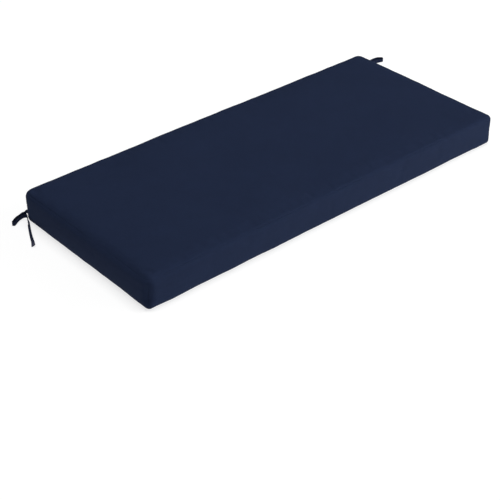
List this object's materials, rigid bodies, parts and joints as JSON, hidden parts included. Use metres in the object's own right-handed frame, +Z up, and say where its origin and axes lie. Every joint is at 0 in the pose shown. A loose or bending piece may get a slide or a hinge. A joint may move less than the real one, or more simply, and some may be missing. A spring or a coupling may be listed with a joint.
{
  "type": "bench cushion",
  "caption": "Long flat bench seat cushion with a boxed sewn cover, softly rounded corners and a folded tape tie at each back corner.",
  "frame": {"origin": "middle of the flat underside", "axes": "+X along the cushion to its right end, -Y its front long side, +Z up through its thickness; the ties are at the back corners, +Y"},
  "size_m": [1.2271, 0.5058, 0.08],
  "materials": {
    "cover": "matt woven navy polyester",
    "tape": "matt folded navy tape, topstitched"
  },
  "bodies": {
    "root": {"cushion": "cover", "tie_left": "tape", "tie_right": "tape"}
  },
  "joints": []
}
